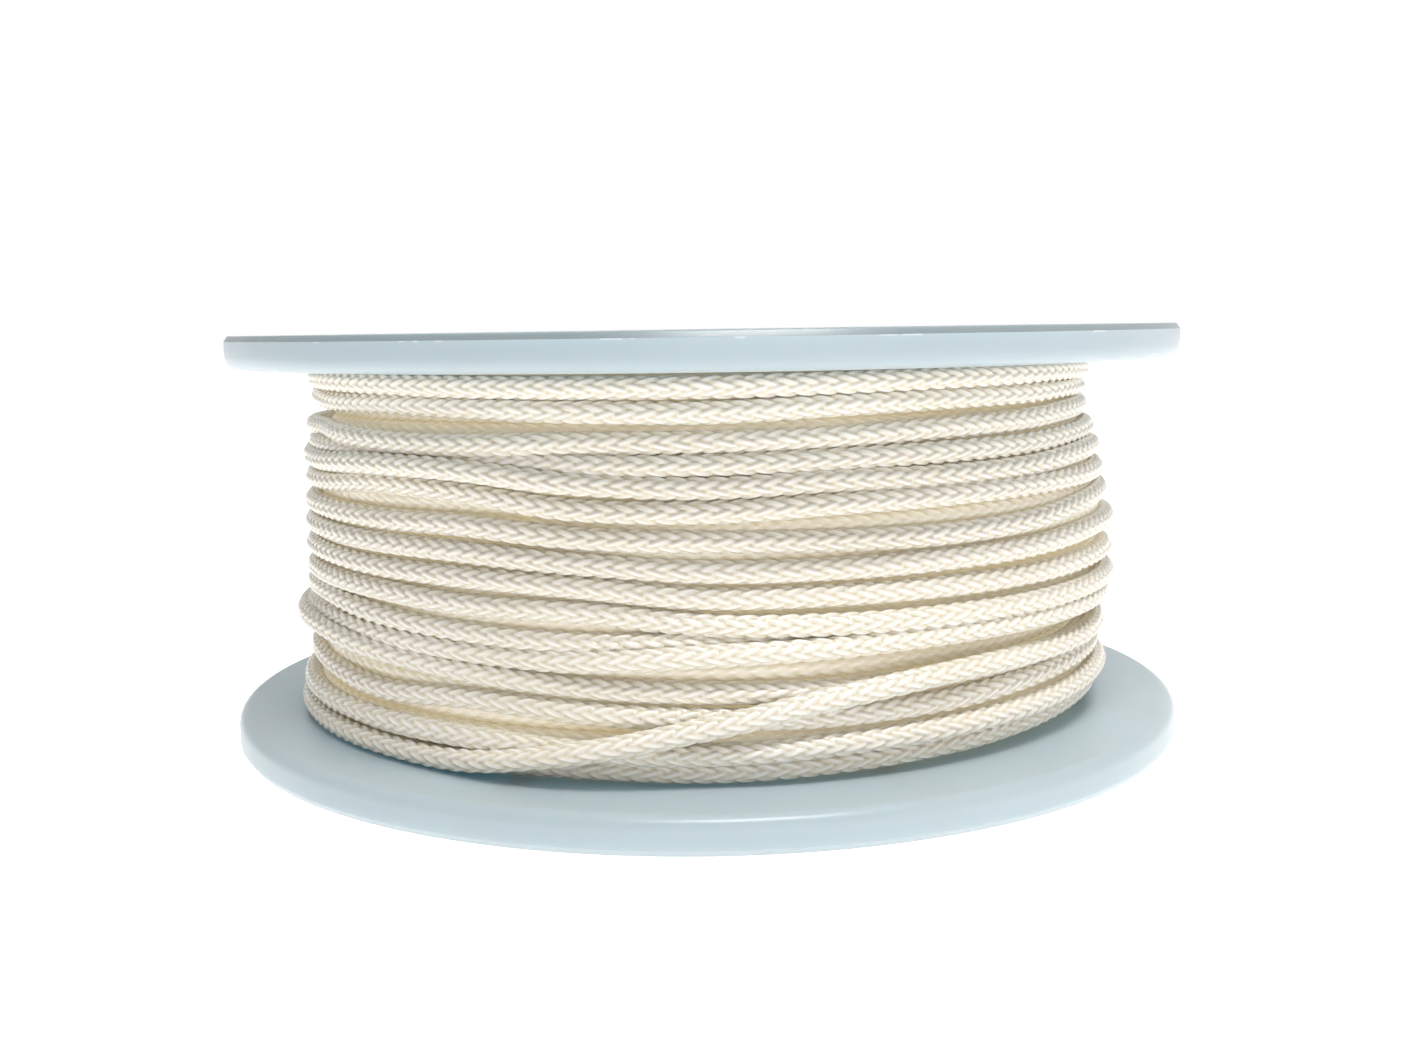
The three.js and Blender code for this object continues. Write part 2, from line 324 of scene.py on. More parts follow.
def wind_cord():
    """The cord's angles, heights and radii, where its fifth layer starts, and where its sixth
    first comes to the front.
    """
    even = lay_even_layers()
    fifth = even[-1]
    pile = Pile()
    pile.add(*fifth)
    end_angle = fifth[0, -1]
    first_pass = 360 * math.ceil((end_angle + 60) / 360)
    first_angle = end_angle + STEP_ANGLE
    angles, heights = sixth_layer_heights(first_angle, first_pass)
    last_front = first_pass + 360 * (len(TURNS) - 1)
    tucked = angles >= last_front + TUCK_ANGLE
    tail_radii = pile.lay(angles[tucked], heights[tucked])
    pile.add(angles[tucked], heights[tucked], tail_radii)
    radii = np.empty_like(angles)
    open_points = np.count_nonzero(~tucked)
    for start in range(0, open_points, STEPS):
        turn = slice(start, min(start + STEPS, open_points))
        radii[turn] = pile.lay(angles[turn], heights[turn])
        pile.add(angles[turn], heights[turn], radii[turn])
    radii[tucked] = tail_radii
    whole = np.concatenate([*even, np.stack([angles, heights, radii])], axis=1)
    return whole, fifth[0, 0], first_pass


class Line:
    """The cord's centreline, read at any angle or at any length along it."""

    def __init__(self, samples):
        self.angles, self.heights, self.radii = samples
        self.fine = np.arange(self.angles[0], self.angles[-1], 0.5)
        steps = np.linalg.norm(np.diff(self.points(self.fine), axis=0), axis=1)
        self.lengths = np.concatenate([[0], np.cumsum(steps)])

    def points(self, angles):
        heights = smooth_through(self.angles, self.heights, angles)
        radii = smooth_through(self.angles, self.radii, angles)
        turn = np.radians(angles)
        return np.stack([radii * np.sin(turn), -radii * np.cos(turn), heights], axis=-1)

    def length_at(self, angle):
        return np.interp(angle, self.fine, self.lengths)

    def between(self, first_angle, last_angle, spacing):
        """Evenly spaced angles and lengths from one angle to another."""
        first, last = self.length_at(first_angle), self.length_at(last_angle)
        lengths = np.linspace(first, last, max(2, round((last - first) / spacing) + 1))
        return np.interp(lengths, self.lengths, self.fine), lengths


def frames_along(points):
    """Tangent, outward and sideways directions at each point of a line round the reel's axis."""
    tangent = np.gradient(points, axis=0)
    tangent /= np.linalg.norm(tangent, axis=1, keepdims=True)
    outward = points * np.array([1, 1, 0])
    outward -= np.sum(outward * tangent, axis=1, keepdims=True) * tangent
    outward /= np.linalg.norm(outward, axis=1, keepdims=True)
    return tangent, outward, np.cross(tangent, outward)


# ---- The cord's braid -------------------------------------------------------------------------

# Sixteen strands, eight each way round, two over and two under.
STRANDS_EACH_WAY = 8
STRAND_STEP = 3.5                # how far one strand goes along the cord past the next, mm
BRAID_RADIUS = 1.75              # half way up the strands' waves
FLOAT_RISE = 0.34                # a strand's rise over the ones it crosses
STRAND_CROWN = 0.36              # how much a strand falls away to its edges
PAINTED_HIGHLIGHT_WIDTH = 0.16               # half the width of the painted highlight along a strand's crest, in strands
CREST_SHARPNESS = 0.25           # 1 makes the strands wave evenly, less makes them level on top
OTHER_WAY = 3                    # tells the strands of the other way in the "across" attribute
FACING_SHARE = 220               # degrees of the cord's own section that face outwards
TWIST_WANDER = 0.9               # how far the braid turns to and fro round the cord, in strands
TWIST_LENGTH = 210               # length of cord in which the braid turns by one strand, mm
STRETCH_WANDER = 0.22            # how far the braid creeps to and fro along the cord, in strands
RADIUS_WANDER = 0.03             # how far the cord swells and thins, mm
RELIEF_FOOT = 0.08               # how far below the braid's radius the deepest shade starts, mm


def section_angles(facing, hidden):
    """Angles round the cord's section, close together where it faces out."""
    half = FACING_SHARE / 2
    front = np.linspace(-half, half, facing)
    back = np.linspace(half, 360 - half, hidden + 2)[1:-1]
    return np.radians(np.concatenate([front, back]))


def flat_wave(place):
    """A wave four strands long, level along its crests and steep between them."""
    wave = np.cos(np.pi / 2 * place)
    return wave / np.sqrt(wave**2 + CREST_SHARPNESS * (1 - wave**2))


def braid(around, along):
    """Height of the braid's surface at each point, and the place across the strand on top.

    The place is within half a strand of 0 on the strands one way, and of OTHER_WAY on the others.
    """
    one_way = around + along
    other_way = around - along
    strand_one = np.round(one_way)
    strand_other = np.round(other_way)
    edge_one = one_way - strand_one
    edge_other = other_way - strand_other
    rise_one = FLOAT_RISE * flat_wave(other_way + strand_one - 0.5)
    rise_other = FLOAT_RISE * flat_wave(one_way + strand_other - 2.5)
    top_one = rise_one - STRAND_CROWN * (2 * edge_one) ** 2
    top_other = rise_other - STRAND_CROWN * (2 * edge_other) ** 2
    over = top_one > top_other
    return np.where(over, top_one, top_other), np.where(over, edge_one, edge_other + OTHER_WAY)


def slow_noise(lengths, period, seed):
    """A smooth wander between -1 and 1 along the cord."""
    knots = np.arange(lengths[0] - 2 * period, lengths[-1] + 3 * period, period)
    first = np.round(knots / period).astype(int)
    values = np.sin(first * 12.9898 + seed * 78.233) * 43758.5453
    values = 2 * (values - np.floor(values)) - 1
    return smooth_through(first * period, values, lengths)


def braided_tube(name, line, first_angle, last_angle, spacing, facing, hidden):
    """A stretch of cord with its braid as real relief."""
    angles, lengths = line.between(first_angle, last_angle, spacing)
    centres = line.points(angles)
    _, outward, sideways = frames_along(centres)
    section = section_angles(facing, hidden)
    twist = TWIST_WANDER * slow_noise(lengths, 70, 1) + lengths / TWIST_LENGTH
    stretch = STRETCH_WANDER * slow_noise(lengths, 45, 2)
    around = section[None, :] * STRANDS_EACH_WAY / (2 * math.pi) + twist[:, None]
    along = np.broadcast_to((lengths / STRAND_STEP + stretch)[:, None], around.shape)
    relief, across = braid(around, along)
    radius = BRAID_RADIUS + relief + RADIUS_WANDER * slow_noise(lengths, 9, 3)[:, None]
    points = (
        centres[:, None, :]
        + (radius * np.cos(section))[..., None] * outward[:, None, :]
        + (radius * np.sin(section))[..., None] * sideways[:, None, :]
    )
    rows, columns = around.shape
    piece = link_mesh(name, points.reshape(-1, 3), grid_faces(rows, columns), end_caps(rows, columns))
    store(piece, "relief", np.clip((relief + RELIEF_FOOT) / (FLOAT_RISE + RELIEF_FOOT), 0, 1))
    store(piece, "across", across)
    # Painted highlight: a bright band along the middle of each strand, for the material to lighten.
    edge = across - OTHER_WAY * np.round(across / OTHER_WAY)
    store(piece, "painted_crest_highlight", np.exp(-((edge / PAINTED_HIGHLIGHT_WIDTH) ** 2)))
    return piece


def store(piece, name, values):
    """Keeps one value for each of a mesh's points, for its material to read."""
    attribute = piece.data.attributes.new(name, "FLOAT", "POINT")
    attribute.data.foreach_set("value", np.ascontiguousarray(values, dtype=np.float32).ravel())


def plain_tube(name, centres, radii, sides):
    """A closed tube round a line."""
    _, outward, sideways = frames_along(centres)
    section = np.linspace(0, 2 * math.pi, sides, endpoint=False)
    out_share = np.cos(section)[None, :, None]
    side_share = np.sin(section)[None, :, None]
    ring = out_share * outward[:, None] + side_share * sideways[:, None]
    points = (centres[:, None] + radii[:, None, None] * ring).reshape(-1, 3)
    return link_mesh(name, points, grid_faces(len(centres), sides), end_caps(len(centres), sides))


# ---- Turned and lofted shapes -----------------------------------------------------------------

LARGE_TURN = 288
MEDIUM_TURN = 144
SMALL_TURN = 48


def rounded(corners, steps=6):
    """A closed outline from its corners (x, y, rounding), with each rounding as an arc."""
    outline = []
    for number, (x, y, rounding) in enumerate(corners):
        corner = np.array((x, y), dtype=float)
        before = np.array(corners[number - 1][:2]) - corner
        after = np.array(corners[(number + 1) % len(corners)][:2]) - corner
        before /= np.linalg.norm(before)
        after /= np.linalg.norm(after)
        half = math.acos(np.clip(before @ after, -1, 1)) / 2
        middle = corner + (before + after) * rounding / math.sin(2 * half) if rounding else corner
        start = corner + before * rounding / math.tan(half) - middle
        end = corner + after * rounding / math.tan(half) - middle
        turn = math.pi - 2 * half
        for share in np.linspace(0, 1, steps + 1) if rounding else [0]:
            arc = (math.sin((1 - share) * turn) * start + math.sin(share * turn) * end) / math.sin(turn)
            outline.append(middle + arc)
    return np.array(outline)


def turned(profile, segments, centre=(0, 0)):
    """Points and quads of a ring turned round an upright axis from its (radius, height) outline."""
    turn = np.linspace(0, 2 * math.pi, segments, endpoint=False)[:, None]
    x = centre[0] + profile[:, 0] * np.cos(turn)
    y = centre[1] + profile[:, 0] * np.sin(turn)
    points = np.stack([x, y, np.broadcast_to(profile[:, 1], x.shape)], axis=-1).reshape(-1, 3)
    return points, grid_faces(segments, len(profile), close_rows=True)


def lofted(rings):
    """Points, quads and caps of a closed body through rings that each hold as many points."""
    count = len(rings[0])
    return np.concatenate(rings), grid_faces(len(rings), count), end_caps(len(rings), count)


def ring_at(radii, height, centre=(0, 0)):
    """A level ring of points whose radius may change round it."""
    turn = np.linspace(0, 2 * math.pi, SMALL_TURN, endpoint=False)
    radii = np.broadcast_to(radii, turn.shape)
    x = centre[0] + radii * np.cos(turn)
    y = centre[1] + radii * np.sin(turn)
    return np.stack([x, y, np.broadcast_to(height, turn.shape)], axis=-1)


def combine(piece, other, operation):
    """Joins other to piece, or cuts it away, and removes other."""
    modifier = piece.modifiers.new("combine", "BOOLEAN")
    modifier.operation = operation
    modifier.solver = "EXACT"
    modifier.object = other
    bpy.context.view_layer.update()
    result = bpy.data.meshes.new_from_object(piece.evaluated_get(bpy.context.evaluated_depsgraph_get()))
    piece.modifiers.clear()
    piece.data = result
    bpy.data.objects.remove(other)


def joined(name, parts):
    """One mesh object from several closed bodies given as (points, quads) or (points, quads, caps)."""
    points, quads, caps = [], [], []
    offset = 0
    for part in parts:
        points.append(part[0])
        quads.append(part[1] + offset)
        caps += [cap + offset for cap in (part[2] if len(part) > 2 else [])]
        offset += len(part[0])
    return link_mesh(name, np.concatenate(points), np.concatenate(quads), caps)


# ---- Flanges ----------------------------------------------------------------------------------

WEB = 2.6
RIM_WALL = 2.6
RIM_INSIDE = FLANGE_RADIUS - RIM_WALL
FACE_ROUNDING = 2.5              # the rim's edge on the cord's side
EDGE_LAND = (0.7, 1.1)           # the narrow sloping land round the rim's outer edge
HUB_RADIUS = 28.0
ARBOR_WALL = 3.2
HUB_HOLE = node_radius("arbor_tube") - ARBOR_WALL
HEAD_POCKET = node_radius("bush_top") + FIT_GAP
HEAD_POCKET_FLOOR = 4.7
SPIGOT_RADIUS = 59.2
SPIGOT_WALL = 2.5
SPIGOT_LENGTH = 4.0
RIB_HEIGHT = 5.4
RIB_WIDTH = 2.0
RIB_DRAFT = 0.15                 # how much a rib's foot stands out on each side
RIB_END = 0.8                    # how far a rib runs into the hub and the rim
ROOT = 0.5                       # how far ribs and cups are sunk into the web
RING_RIB_RADIUS = 60.0
RIBS = 8
BOLTS = 4
BOLT_CIRCLE = 42.0
BOLT_HOLE = 2.8
SHARP_ANGLE = 35                 # degrees between faces from which an edge is shaded sharp
CUP_OUTSIDE = 8.4
CUP_INSIDE = 6.6


def flange_profile():
    """The flange's section as (radius, height out from the cord's side)."""
    slope_in, slope_down = EDGE_LAND
    return rounded([
        (HUB_HOLE, 0, 0.3),
        (HUB_HOLE, HEAD_POCKET_FLOOR, 0.2),
        (HEAD_POCKET, HEAD_POCKET_FLOOR, 0.2),
        (HEAD_POCKET, RIM_HEIGHT, 0.4),
        (HUB_RADIUS, RIM_HEIGHT, 0.5),
        (HUB_RADIUS, WEB, 1.0),
        (RING_RIB_RADIUS, WEB, 0.6),
        (RING_RIB_RADIUS, RIB_HEIGHT, 0.4),
        (RING_RIB_RADIUS + RIB_WIDTH, RIB_HEIGHT, 0.4),
        (RING_RIB_RADIUS + RIB_WIDTH, WEB, 0.6),
        (RIM_INSIDE, WEB, 1.0),
        (RIM_INSIDE, RIM_HEIGHT, 0.4),
        (FLANGE_RADIUS - slope_in, RIM_HEIGHT, 0.3),
        (FLANGE_RADIUS, RIM_HEIGHT - slope_down, 0.15),
        (FLANGE_RADIUS, 0, FACE_ROUNDING),
        (SPIGOT_RADIUS, 0, 0.2),
        (SPIGOT_RADIUS, -SPIGOT_LENGTH, 0.4),
        (SPIGOT_RADIUS - SPIGOT_WALL, -SPIGOT_LENGTH, 0.4),
        (SPIGOT_RADIUS - SPIGOT_WALL, 0, 0.2),
    ])


def rib_bar(angle):
    """A straight rib from the hub to the rim, with a rounded top."""
    half = RIB_WIDTH / 2
    foot = half + RIB_DRAFT
    section = rounded([
        (-foot, WEB - ROOT, 0),
        (-half, RIB_HEIGHT, 0.5),
        (half, RIB_HEIGHT, 0.5),
        (foot, WEB - ROOT, 0),
    ], 4)
    reaches = (HUB_RADIUS - RIB_END, RIM_INSIDE + RIB_END)
    across = np.array((-math.sin(angle), math.cos(angle)))
    along = np.array((math.cos(angle), math.sin(angle)))
    rings = []
    for reach in reaches:
        flat = reach * along + section[:, :1] * across
        rings.append(np.concatenate([flat, section[:, 1:]], axis=1))
    return lofted(rings)


def bolt_places():
    """The four bolt centres in a flange's own frame."""
    turns = [2 * math.pi * (number + 0.5) / BOLTS for number in range(BOLTS)]
    return [(BOLT_CIRCLE * math.cos(turn), BOLT_CIRCLE * math.sin(turn)) for turn in turns]


def cup(centre):
    """The raised collar round a bolt's head or nut."""
    profile = rounded([
        (CUP_INSIDE, WEB - ROOT, 0),
        (CUP_INSIDE, RIB_HEIGHT, 0.4),
        (CUP_OUTSIDE, RIB_HEIGHT, 0.4),
        (CUP_OUTSIDE, WEB - ROOT, 0),
    ], 4)
    return turned(profile, SMALL_TURN, centre)


def stand_up(piece, end):
    """Moves a flange's parts, made with heights out from the cord's side, to one end of the reel."""
    count = len(piece.data.vertices)
    points = np.empty(count * 3)
    piece.data.vertices.foreach_get("co", points)
    points = points.reshape(-1, 3)
    out = points[:, 2].copy()
    if end == "top":
        points[:, 2] = FACE_HIGH * MM + out
    else:
        points[:, 1] *= -1
        points[:, 2] = FACE_LOW * MM - out
    piece.data.vertices.foreach_set("co", points.ravel())
    piece.data.update()
    return out / MM


def mesh_radii(piece):
    """How far each of a mesh's points is from the reel's axis, in millimetres."""
    points = np.empty(len(piece.data.vertices) * 3)
    piece.data.vertices.foreach_get("co", points)
    return np.hypot(points[0::3], points[1::3]) / MM


def make_flange(end):
    """One moulded end: rim, web, ribs, hub, bolt cups and the ring that centres the barrel."""
    piece = joined("smooth_flange_" + end, [turned(flange_profile(), LARGE_TURN)])
    ribs = [rib_bar(2 * math.pi * (number + 0.5) / RIBS) for number in range(RIBS)]
    for part in ribs + [cup(centre) for centre in bolt_places()]:
        combine(piece, joined("part", [part]), "UNION")
    for centre in bolt_places():
        hole = lofted([ring_at(BOLT_HOLE, -1, centre), ring_at(BOLT_HOLE, WEB + 1, centre)])
        combine(piece, joined("hole", [hole]), "DIFFERENCE")
    finish_shading(piece.data, SHARP_ANGLE)
    out = stand_up(piece, end)
    radii = mesh_radii(piece)
    # Only the top flange gets the painted shade and real scuffs on its land, and the painted reflection
    # on its wall.
    on_top_flange = end == "top"
    store(piece, "land", np.where(radii > RIM_INSIDE + 1, out, 0) * on_top_flange)
    store(piece, "wall", np.clip(radii - FLANGE_RADIUS + 1, 0, 1) * on_top_flange)
    return piece


# ---- Hub, barrel and fasteners ----------------------------------------------------------------

BUSH_WALL = 2.0
BUSH_HEAD_HEIGHT = 1.6
BUSH_LENGTH = 20.0
BARREL_WALL = 3.0
START_HOLE = 2.6
BOLT_SHANK = 2.5
BOLT_HEAD_HEIGHT = 2.6
BOLT_DOME = 1.6
SOCKET_CORNER = 1.73
SOCKET_DEPTH = 1.6
NUT_CORNER = 4.62
NUT_HOLE = 2.8
WASHER_HOLE = 2.8
NUT_CHAMFER = 0.97               # the chamfer's inner circle, against the nut's flats
NUT_LEAD = 0.35                  # the countersink at the mouth of the nut's hole


def make_bush(end):
    """A flanged bush that lines one end of the bore."""
    head = node_radius("bush_" + end)
    outside = node_radius("arbor_tube") - ARBOR_WALL - FIT_GAP
    bore = outside - BUSH_WALL
    head_base = RIM_HEIGHT - BUSH_HEAD_HEIGHT
    inner_end = RIM_HEIGHT - BUSH_LENGTH
    profile = rounded([
        (bore, inner_end, 0.3),
        (bore, RIM_HEIGHT, 0.8),
        (head, RIM_HEIGHT, 0.4),
        (head, head_base, 0.2),
        (outside, head_base, 0.2),
        (outside, inner_end, 0.5),
    ])
    piece = joined("smooth_bush_" + end, [turned(profile, MEDIUM_TURN)])
    finish_shading(piece.data, SHARP_ANGLE)
    stand_up(piece, end)
    return piece


def make_tube(node, wall):
    """A plain tube with softened ends, as long and as wide as its node."""
    low, high = box_mm(node)
    outside = high[0]
    profile = rounded([
        (outside - wall, low[2], 0.4),
        (outside - wall, high[2], 0.4),
        (outside, high[2], 0.4),
        (outside, low[2], 0.4),
    ])
    return joined("smooth_" + node, [turned(profile, LARGE_TURN)])


def cut_start_hole(barrel):
    """The hole that the cord's inner end goes into."""
    rings = []
    for reach in (BARREL_RADIUS - BARREL_WALL - 1, BARREL_RADIUS + 1):
        circle = ring_at(START_HOLE, reach)
        rings.append(np.stack([circle[:, 2], circle[:, 0], circle[:, 1] + START_HEIGHT], axis=-1))
    combine(barrel, joined("hole", [lofted(rings)]), "DIFFERENCE")


def hexagon(corner_radius):
    """The radius of a hexagon at each of a ring's points."""
    turn = np.linspace(0, 360, SMALL_TURN, endpoint=False)
    return corner_radius * math.cos(math.pi / 6) / np.cos(np.radians(turn % 60 - 30))


def node_place(node):
    """A fastener's centre, and its lowest and highest points."""
    low, high = box_mm(node)
    return (low[:2] + high[:2]) / 2, low[2], high[2]


def make_bolt(node):
    """A button-head screw with a hexagon socket."""
    centre, low, high = node_place(node)
    head = (box_mm(node)[1][0] - box_mm(node)[0][0]) / 2
    seat = high - BOLT_HEAD_HEIGHT
    shoulder = high - BOLT_DOME
    rings = [
        ring_at(BOLT_SHANK - 0.5, low, centre),
        ring_at(BOLT_SHANK, low + 0.5, centre),
        ring_at(BOLT_SHANK, seat, centre),
        ring_at(head - 0.15, seat, centre),
        ring_at(head, seat + 0.15, centre),
    ]
    flat = head / 2
    for turn in np.linspace(0, math.pi / 2, 9):
        radius = flat + (head - flat) * math.cos(turn)
        rings.append(ring_at(radius, shoulder + BOLT_DOME * math.sin(turn), centre))
    rings.append(ring_at(SOCKET_CORNER + 0.1, high, centre))
    rings.append(ring_at(hexagon(SOCKET_CORNER), high - 0.25, centre))
    rings.append(ring_at(hexagon(SOCKET_CORNER), high - SOCKET_DEPTH, centre))
    return joined("smooth_" + node, [lofted(rings)])


def make_nut(node):
    """A hexagon nut, chamfered at both faces."""
    centre, low, high = node_place(node)
    flat = NUT_CORNER * math.cos(math.pi / 6)
    sides = hexagon(NUT_CORNER)
    chamfer = NUT_CHAMFER * flat
    drop = (sides - chamfer) * math.tan(math.pi / 6)
    rings = [
        ring_at(chamfer, low, centre),
        ring_at(sides, low + drop, centre),
        ring_at(sides, high - drop, centre),
        ring_at(chamfer, high, centre),
        ring_at(NUT_HOLE + NUT_LEAD, high, centre),
        ring_at(NUT_HOLE, high - NUT_LEAD, centre),
        ring_at(NUT_HOLE, low + NUT_LEAD, centre),
        ring_at(NUT_HOLE + NUT_LEAD, low, centre),
    ]
    shape = (np.concatenate(rings), grid_faces(len(rings), SMALL_TURN, close_rows=True))
    return joined("smooth_" + node, [shape])


def make_washer(node):
    """A flat washer with its outer edge rounded."""
    centre, low, high = node_place(node)
    outside = box_mm(node)[1][0] - centre[0]
    profile = rounded([
        (WASHER_HOLE, low, 0.1),
        (WASHER_HOLE, high, 0.1),
        (outside, high, 0.2),
        (outside, low, 0.1),
    ], 3)
    return joined("smooth_" + node, [turned(profile, SMALL_TURN, centre)])


# ---- Materials --------------------------------------------------------------------------------

class Nodes:
    """A material's node tree, with short calls for adding and joining nodes."""

    def __init__(self, name):
        self.material = bpy.data.materials.new(name)
        self.material.use_nodes = True
        self.tree = self.material.node_tree
        self.shader = self.tree.nodes["Principled BSDF"]

    def add(self, kind, inputs=None, **settings):
        node = self.tree.nodes.new("ShaderNode" + kind)
        for key, value in settings.items():
            setattr(node, key, value)
        for key, value in (inputs or {}).items():
            self.put(node.inputs[key], value)
        return node

    def put(self, socket, value):
        if isinstance(value, bpy.types.NodeSocket):
            self.tree.links.new(value, socket)
        else:
            socket.default_value = value

    def set(self, **inputs):
        for key, value in inputs.items():
            self.put(self.shader.inputs[key.replace("_", " ")], value)

    def math(self, operation, *values):
        node = self.add("Math", operation=operation)
        for socket, value in zip(node.inputs, values):
            self.put(socket, value)
        return node.outputs[0]

    def attribute(self, name):
        return self.add("Attribute", attribute_name=name).outputs["Fac"]

    def noise(self, scale, detail=2.0, vector=None, roughness=0.5):
        inputs = {"Scale": scale, "Detail": detail, "Roughness": roughness}
        node = self.add("TexNoise", inputs)
        if vector is not None:
            self.put(node.inputs["Vector"], vector)
        return node.outputs["Fac"]

    def ramp(self, factor, *stops):
        node = self.add("ValToRGB", {"Fac": factor})
        elements = node.color_ramp.elements
        while len(elements) < len(stops):
            elements.new(0.5)
        for element, (position, colour) in zip(elements, stops):
            element.position = position
            element.color = (*colour, 1)
        return node.outputs["Color"]

    def mix(self, factor, first, second, blend="MIX"):
        node = self.add("Mix", data_type="RGBA", blend_type=blend)
        self.put(node.inputs[0], factor)
        self.put(node.inputs[6], first)
        self.put(node.inputs[7], second)
        return node.outputs[2]

    def bump(self, height, distance, strength=1.0):
        node = self.add("Bump", {"Height": height, "Distance": distance, "Strength": strength})
        self.put(self.shader.inputs["Normal"], node.outputs["Normal"])

    def position(self):
        return self.add("TexCoord").outputs["Object"]


FIBRES = 7                       # bundles of filament that show across a strand
SOAKED_LIGHT = 0.15              # emission strength of the cord that lies under other turns: a painted glow


def cord_material(name, glow):
    """Ivory synthetic filament: glossy strands, with painted shade (warmer and darker) down between them
    and a painted highlight along their crests.

    glow is painted light, an emission that stands in for the light soaking through the wound cord to the
    turns beneath.
    """
    nodes = Nodes(name)
    # Painted shade: the ramp darkens and warms the colour where the braid's relief is low, down between
    # the strands.
    strand = nodes.ramp(
        nodes.attribute("relief"),
        (0.0, (0.72, 0.645, 0.48)),
        (0.3, (0.78, 0.725, 0.61)),
        (0.75, (0.78, 0.735, 0.65)),
    )
    # Painted highlight: the strands' crests are mixed towards near white.
    painted_crest_highlight = nodes.math("MULTIPLY", nodes.attribute("painted_crest_highlight"), nodes.attribute("relief"))
    strand = nodes.mix(nodes.math("MULTIPLY", painted_crest_highlight, 0.9), strand, (0.96, 0.94, 0.90, 1))
    patches = nodes.noise(45, 3, nodes.position())
    tint = nodes.ramp(patches, (0.3, (0.965, 0.955, 0.93)), (0.7, (1.0, 1.0, 1.0)))
    nodes.set(Base_Color=nodes.mix(1.0, strand, tint, "MULTIPLY"))
    fibre_turn = 2 * math.pi * FIBRES
    fibres = nodes.math("SINE", nodes.math("MULTIPLY", nodes.attribute("across"), fibre_turn))
    fleck = nodes.noise(900, 2, nodes.position())
    nodes.bump(nodes.math("ADD", nodes.math("MULTIPLY", fibres, 0.1), fleck), 0.00002, 0.6)
    nodes.set(Roughness=0.2, Specular_IOR_Level=0.9)
    nodes.set(Subsurface_Weight=0.4, Subsurface_Scale=0.0005, Subsurface_Radius=(1.0, 0.88, 0.62))
    nodes.set(Emission_Color=(1.0, 0.88, 0.58, 1), Emission_Strength=glow)
    return nodes.material


def plastic_nodes(name, colour, roughness):
    """Smooth moulded plastic, hardly uneven in colour and gloss, with faint ripples."""
    nodes = Nodes(name)
    place = nodes.position()
    dark = tuple(0.985 * value for value in colour)
    light = tuple(1.01 * value for value in colour)
    nodes.set(Base_Color=nodes.ramp(nodes.noise(28, 2, place), (0.3, dark), (0.7, light)))
    nodes.bump(nodes.noise(90, 2, place), 0.00002, 0.25)
    gloss = {
        "Value": nodes.noise(60, 3, place),
        "From Min": 0.3,
        "From Max": 0.7,
        "To Min": roughness,
        "To Max": roughness + 0.05,
    }
    nodes.set(Roughness=nodes.add("MapRange", gloss).outputs["Result"])
    nodes.set(Specular_IOR_Level=0.5)
    return nodes


SCUFF_DROP = 0.1                 # how far the line of scuffs lies below the land, mm
SCUFF_WIDTH = 0.22               # half the line's greatest width, mm


def flange_material():
    """Pale blue plastic that lets some light through; on the top flange the outer wall carries a painted
    reflection, and the rim's outer land is darkened as painted shade and scuffed.
    """
    colour = (0.45, 0.505, 0.525)
    nodes = plastic_nodes("flange_plastic", colour, 0.3)
    plain = nodes.shader.inputs["Base Color"].links[0].from_socket
    # Painted reflection: the top flange's outer wall is mixed a little darker and greyer.
    on_wall = nodes.math("MULTIPLY", nodes.attribute("wall"), 0.7)
    wall_with_painted_reflection = nodes.mix(on_wall, plain, (0.43, 0.49, 0.52, 1))
    # Painted shade: the top rim's outer land is mixed much darker.
    out = nodes.attribute("land")
    land_start = RIM_HEIGHT - EDGE_LAND[1]
    on_land = nodes.math("GREATER_THAN", out, land_start)
    land_painted_shade = nodes.mix(nodes.math("MULTIPLY", on_land, 0.8), wall_with_painted_reflection, (0.20, 0.225, 0.23, 1))
    away = nodes.math("ABSOLUTE", nodes.math("SUBTRACT", out, land_start - SCUFF_DROP))
    scuff_width = nodes.math("MULTIPLY", nodes.noise(400, 2, nodes.position()), SCUFF_WIDTH)
    line = nodes.math("LESS_THAN", away, scuff_width)
    chance = nodes.math("GREATER_THAN", nodes.noise(110, 3, nodes.position(), 0.65), 0.58)
    scuffed = nodes.math("MULTIPLY", nodes.math("MULTIPLY", line, chance), 0.4)
    nodes.set(Base_Color=nodes.mix(scuffed, land_painted_shade, (0.80, 0.82, 0.83, 1)))
    nodes.set(Subsurface_Weight=0.8, Subsurface_Scale=0.006, Subsurface_Radius=(0.7, 1.0, 1.1))
    return nodes.material


def steel_material():
    """Zinc plated steel."""
    nodes = Nodes("fastener_steel")
    grain = nodes.noise(300, 3, nodes.position())
    nodes.set(Base_Color=nodes.ramp(grain, (0.3, (0.52, 0.53, 0.54)), (0.7, (0.66, 0.67, 0.68))))
    nodes.bump(grain, 0.00001, 0.4)
    nodes.set(Metallic=1.0, Roughness=0.32)
    return nodes.material


def floor_material():
    """White acrylic, lit a little from below as on a product table."""
    nodes = Nodes("floor")
    nodes.set(Base_Color=(0.5, 0.5, 0.5, 1), Roughness=0.9, Specular_IOR_Level=0.0)
    nodes.set(Emission_Color=(1, 1, 1, 1), Emission_Strength=1.15)
    return nodes.material


def paint(piece, material):
    """Gives a piece its only material."""
    piece.data.materials.clear()
    piece.data.materials.append(material)


# ---- Making the scene -------------------------------------------------------------------------

add_camera()

samples, fifth_angle, first_pass = wind_cord()
line = Line(samples)
cord_paint = cord_material("cord", 0.0)
# A copy of the cord's material with a painted glow, for the turns beneath and the core.
below_paint = cord_material("cord_below", SOAKED_LIGHT)

